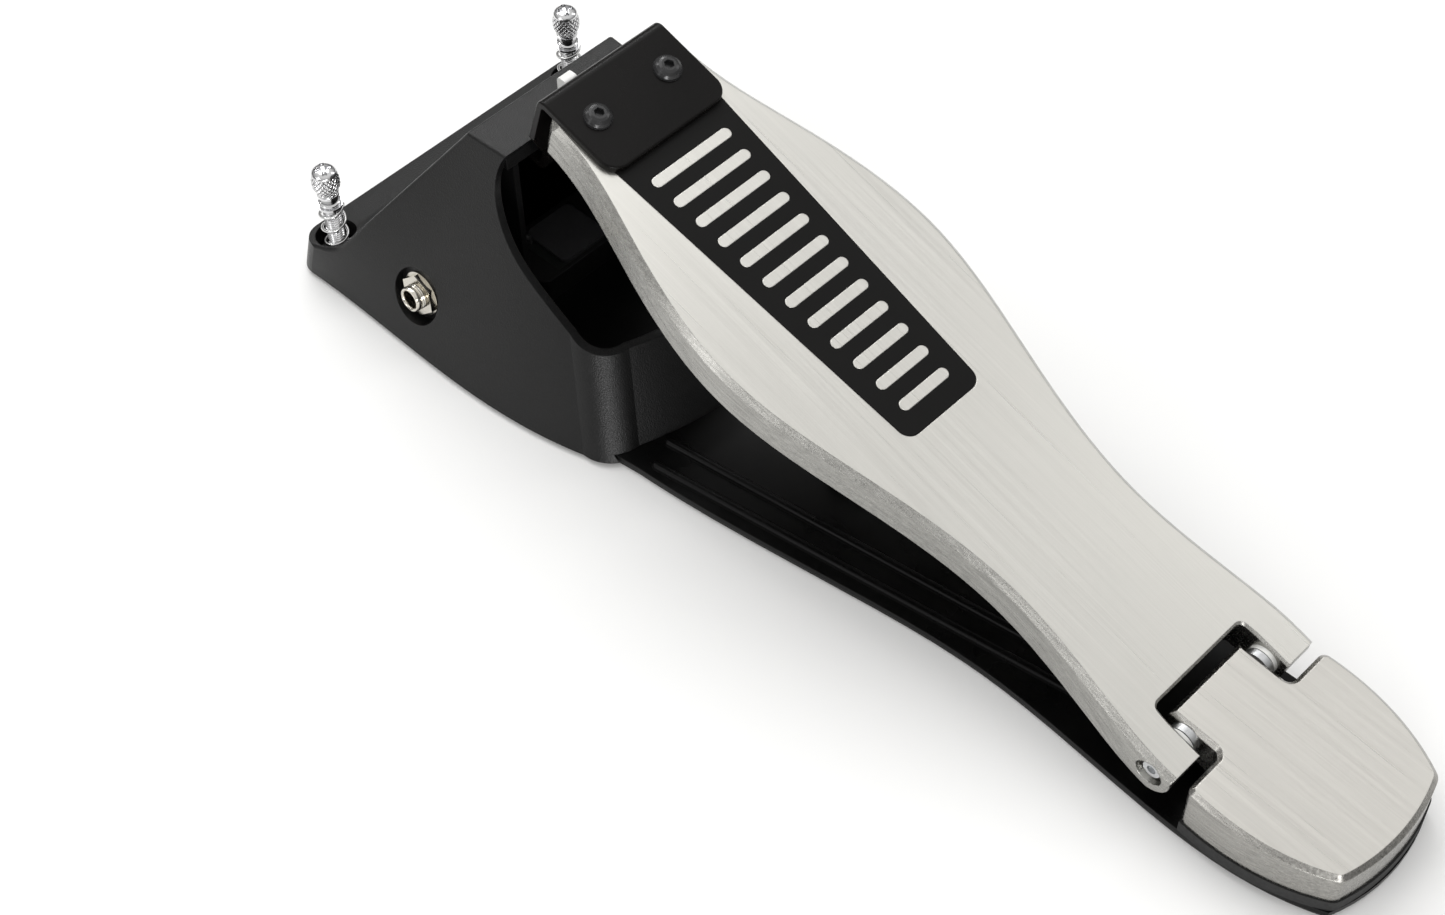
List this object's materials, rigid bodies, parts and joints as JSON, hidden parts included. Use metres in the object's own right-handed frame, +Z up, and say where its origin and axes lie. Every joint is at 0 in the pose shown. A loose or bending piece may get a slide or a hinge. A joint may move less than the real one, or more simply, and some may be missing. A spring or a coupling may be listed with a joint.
{
  "type": "hi-hat control pedal",
  "caption": "Hinged footboard on a waisted base with a wedge-shaped front housing, a jack socket on its left side and knurled anchor screws at the front.",
  "frame": {"origin": "on the floor, under the middle of the pedal's box", "axes": "+Y towards the toe end, +X to the player's right, +Z up"},
  "size_m": [0.1294, 0.409, 0.1091],
  "materials": {
    "black_steel": "satin black powder coat",
    "rubber_black": "matte",
    "cast_aluminium": "brushed top, cast sides",
    "brushed_aluminium": "brushed lengthwise, cast side walls",
    "zinc_screw": "zinc plated",
    "shaft_steel": "ground",
    "black_screw": "black oxide",
    "washer_nylon": "natural nylon",
    "panel_black": "matte, fine texture",
    "bracket_black": "satin black",
    "housing_black": "fine moulded texture",
    "white_nylon": "smooth",
    "brass_insert": "machined",
    "steel_insert": "dark, machined",
    "chrome_bolt": "polished",
    "spring_steel": "bright wire",
    "nickel": "nickel plated",
    "jack_plastic": "moulded",
    "frame_steel": "black coated sheet",
    "felt": "pressed felt",
    "board_green": "circuit board",
    "membrane": "pressure-sensitive film",
    "cable_black": "flexible lead"
  },
  "bodies": {
    "base": {"base_plate": "black_steel", "rubber_sole": "rubber_black", "heel_plate": "cast_aluminium", "heel_spacer": "rubber_black", "heel_screws": "zinc_screw", "housing_screws": "zinc_screw", "frame_screws": "zinc_screw", "sensor_screws": "zinc_screw", "hinge_shaft": "shaft_steel", "hinge_end_screws": "zinc_screw", "hinge_washers": "zinc_screw", "housing": "housing_black", "guide_block": "white_nylon", "anchor_inserts": "steel_insert", "anchor_spring_left": "spring_steel", "anchor_spring_right": "spring_steel", "return_spring": "spring_steel", "jack_sleeve": "nickel", "jack_nut": "nickel", "jack_washer": "nickel", "jack_body": "jack_plastic", "jack_contacts": "brass_insert", "front_frame": "frame_steel", "up_stop_felt": "felt", "sensor_holder": "jack_plastic", "sensor_board": "board_green", "sensor_membrane": "membrane", "sensor_cable": "cable_black", "spring_seat": "jack_plastic"},
    "footboard_assembly": {"footboard": "brushed_aluminium", "grip_panel": "panel_black", "toe_bracket": "bracket_black", "bracket_screws": "black_screw", "actuator_rubber": "rubber_black", "actuator_screw": "zinc_screw", "hinge_bushings": "washer_nylon"},
    "anchor_left_washer": {"anchor_washer_left": "chrome_bolt"},
    "anchor_left_bolt": {"anchor_bolt_left": "chrome_bolt"},
    "anchor_right_washer": {"anchor_washer_right": "chrome_bolt"},
    "anchor_right_bolt": {"anchor_bolt_right": "chrome_bolt"}
  },
  "joints": [
    {"name": "footboard_pivot", "type": "hinge", "parent": "base", "child": "footboard_assembly", "pos_m": [0, -0.1405, 0.0212], "axis": [1, 0, 0], "range_deg": [-8.5, 0], "stiffness_Nm_per_rad": 12, "springref_deg": 8.59, "deforming": ["return_spring"]},
    {"name": "anchor_left_travel", "type": "slide", "parent": "base", "child": "anchor_left_washer", "axis": [0, 0, -1], "range_m": [0, 0.01], "deforming": ["anchor_spring_left"]},
    {"name": "anchor_left_turn", "type": "hinge", "parent": "anchor_left_washer", "child": "anchor_left_bolt", "pos_m": [-0.0549, 0.1921, 0.03], "axis": [0, 0, -1], "range_deg": [0, 3600]},
    {"name": "anchor_right_travel", "type": "slide", "parent": "base", "child": "anchor_right_washer", "axis": [0, 0, -1], "range_m": [0, 0.01], "deforming": ["anchor_spring_right"]},
    {"name": "anchor_right_turn", "type": "hinge", "parent": "anchor_right_washer", "child": "anchor_right_bolt", "pos_m": [0.0549, 0.1921, 0.03], "axis": [0, 0, -1], "range_deg": [0, 3600]}
  ],
  "couplings": [
    {"joint": "anchor_left_turn", "follows": "anchor_left_travel", "rad_per_m": 6283.2},
    {"joint": "anchor_right_turn", "follows": "anchor_right_travel", "rad_per_m": 6283.2}
  ]
}
